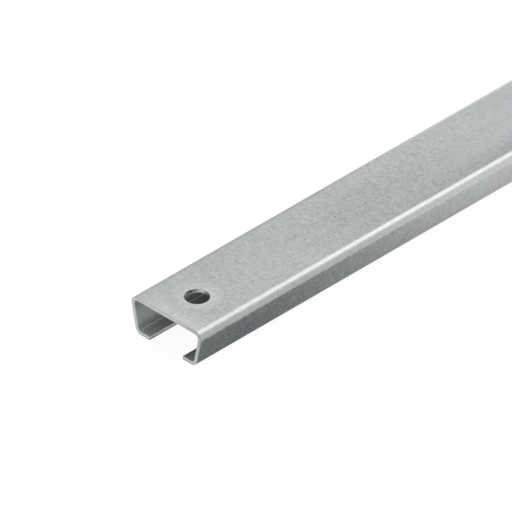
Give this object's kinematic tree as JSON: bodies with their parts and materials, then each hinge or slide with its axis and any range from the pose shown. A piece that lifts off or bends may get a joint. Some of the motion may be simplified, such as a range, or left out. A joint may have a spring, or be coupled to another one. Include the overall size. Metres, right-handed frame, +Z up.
{
  "type": "anchor channel",
  "caption": "Galvanised steel anchor channel: a C section with leaning side walls, a lipped slot along its underside for sliding fixings, and a round fixing hole near each end.",
  "frame": {"origin": "middle of the base plane that the channel lies on, slot down", "axes": "+X across the channel, +Y along it, +Z up, from the slot towards the flat back"},
  "size_m": [0.034, 0.3, 0.015],
  "materials": {
    "galvanised_steel": "satin"
  },
  "bodies": {
    "root": {"anchor_channel": "galvanised_steel"}
  },
  "joints": []
}
